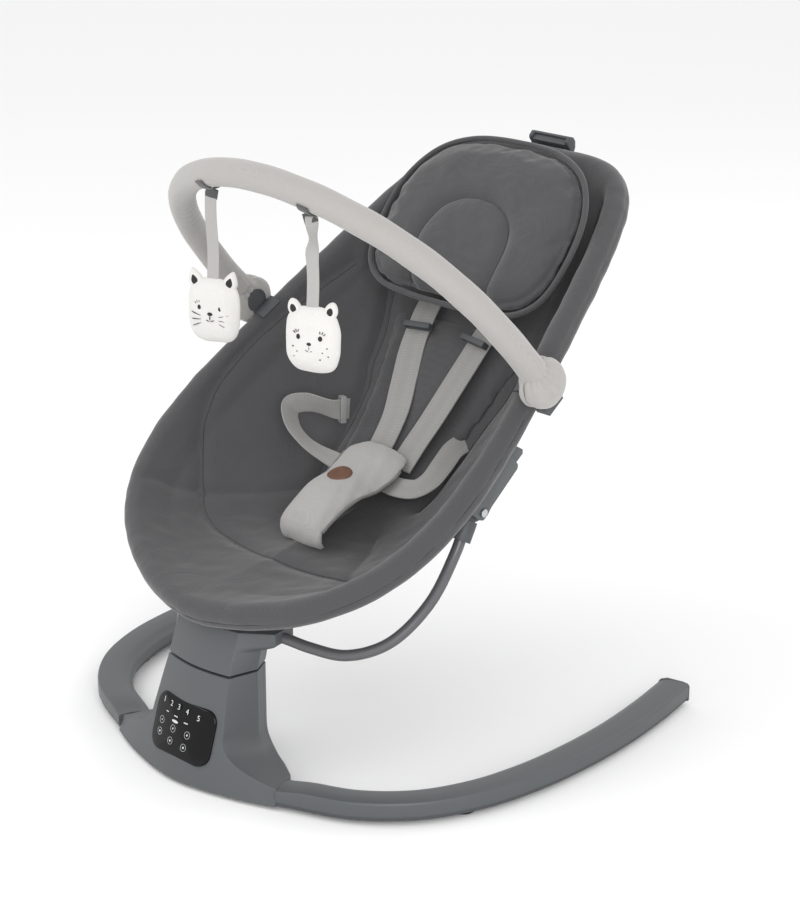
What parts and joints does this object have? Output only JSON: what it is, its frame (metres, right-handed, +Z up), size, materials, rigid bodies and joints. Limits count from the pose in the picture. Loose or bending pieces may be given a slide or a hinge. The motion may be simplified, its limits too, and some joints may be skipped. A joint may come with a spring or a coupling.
{
  "type": "baby swing",
  "caption": "Electric baby swing: reclining fabric bucket seat on bent tubes over a swivelling tower, U-shaped floor base, harness, head pillow and a soft toy bar with hanging toys.",
  "frame": {"origin": "on the floor, below the middle of the overall box", "axes": "+Z up, +Y from the tower at the foot end towards the head end, +X to the right seen from the tower"},
  "size_m": [0.6278, 0.6224, 0.6668],
  "materials": {
    "grey_plastic": "satin moulded, slate grey",
    "dark_plastic": "matt moulded, dark grey",
    "panel_gloss": "gloss black touch panel",
    "circuit_board": "green circuit board",
    "copper_winding": "copper winding",
    "rubber": "black rubber",
    "bright_steel": "bright steel",
    "painted_steel": "dark grey painted steel tube",
    "seat_fabric": "charcoal woven polyester",
    "dark_fabric": "darker padded polyester",
    "webbing": "light grey woven webbing and padding",
    "leather": "brown leather",
    "pale_fabric": "pale grey jersey over foam",
    "plush": "off-white short plush"
  },
  "bodies": {
    "base": {"tower_front_shell": "grey_plastic", "tower_rear_cover": "grey_plastic", "tower_base_plate": "dark_plastic", "control_panel": "panel_gloss", "control_board": "circuit_board", "speaker": "dark_plastic", "drive_coil": "copper_winding", "power_inlet": "rubber", "lower_bearing": "bright_steel", "upper_bearing": "bright_steel", "leg_left_cover": "grey_plastic", "leg_right_cover": "grey_plastic", "leg_left_tray": "dark_plastic", "leg_right_tray": "dark_plastic", "leg_left_end_cap": "grey_plastic", "leg_right_end_cap": "grey_plastic", "foot_left_front": "rubber", "foot_left_rear": "rubber", "foot_right_front": "rubber", "foot_right_rear": "rubber"},
    "turret": {"turret_front_shell": "grey_plastic", "turret_rear_shell": "grey_plastic", "pivot_shaft": "bright_steel", "drive_magnet_arm": "bright_steel", "support_tube_left": "painted_steel", "support_tube_right": "painted_steel", "tube_socket_left": "dark_plastic", "tube_socket_right": "dark_plastic"},
    "seat": {"rim_tube": "painted_steel", "seat_cover": "seat_fabric", "back_panel": "dark_fabric", "head_pillow": "dark_fabric", "top_clip": "dark_plastic", "side_bracket_left": "grey_plastic", "side_bracket_right": "grey_plastic", "pivot_rivet_left": "bright_steel", "pivot_rivet_right": "bright_steel", "stop_rivet_left": "bright_steel", "stop_rivet_right": "bright_steel", "shoulder_strap_left": "webbing", "shoulder_strap_right": "webbing", "waist_strap_left": "webbing", "waist_strap_right": "webbing", "shoulder_slider_left": "dark_plastic", "shoulder_slider_right": "dark_plastic", "waist_slider_left": "dark_plastic", "buckle_body": "dark_plastic", "crotch_pad": "webbing", "crotch_badge": "leather", "bar_clip_left": "dark_plastic", "bar_clip_right": "dark_plastic"},
    "left_slider": {"recline_slider_left": "grey_plastic"},
    "right_slider": {"recline_slider_right": "grey_plastic"},
    "buckle_press": {"buckle_button": "grey_plastic"},
    "toy_bar": {"toy_bar_core": "bright_steel", "toy_bar_sleeve": "pale_fabric", "bar_hub_left": "pale_fabric", "bar_hub_right": "pale_fabric"},
    "bear": {"toy_bear": "plush"},
    "cat": {"toy_cat": "plush"}
  },
  "joints": [
    {"name": "turret_swing", "type": "hinge", "parent": "base", "child": "turret", "pos_m": [0, -0.232, 0.125], "axis": [0, 0, 1], "range_deg": [-12, 12], "stiffness_Nm_per_rad": 2},
    {"name": "seat_recline", "type": "hinge", "parent": "turret", "child": "seat", "pos_m": [0, -0.04977, 0.30171], "axis": [-1, 0, 0], "range_deg": [0, 12]},
    {"name": "recline_slider_right_pull", "type": "slide", "parent": "seat", "child": "right_slider", "axis": [0, 0.8118, 0.584], "range_m": [0, 0.006], "stiffness_N_per_m": 400},
    {"name": "recline_slider_left_pull", "type": "slide", "parent": "seat", "child": "left_slider", "axis": [0, 0.8118, 0.584], "range_m": [0, 0.006], "stiffness_N_per_m": 400},
    {"name": "buckle_button_press", "type": "slide", "parent": "seat", "child": "buckle_press", "axis": [0, 0.584, -0.8118], "range_m": [0, 0.002], "stiffness_N_per_m": 400},
    {"name": "toy_bar_tilt", "type": "hinge", "parent": "seat", "child": "toy_bar", "pos_m": [0, 0.02612, 0.43218], "axis": [-1, 0, 0], "range_deg": [-40, 60]},
    {"name": "bear_swing", "type": "hinge", "parent": "toy_bar", "child": "bear", "pos_m": [0.078, -0.16224, 0.64137], "axis": [0.9466, 0.2156, -0.2395], "range_deg": [-35, 35]},
    {"name": "cat_swing", "type": "hinge", "parent": "toy_bar", "child": "cat", "pos_m": [-0.078, -0.16224, 0.64137], "axis": [0.9466, -0.2156, 0.2395], "range_deg": [-35, 35]}
  ]
}
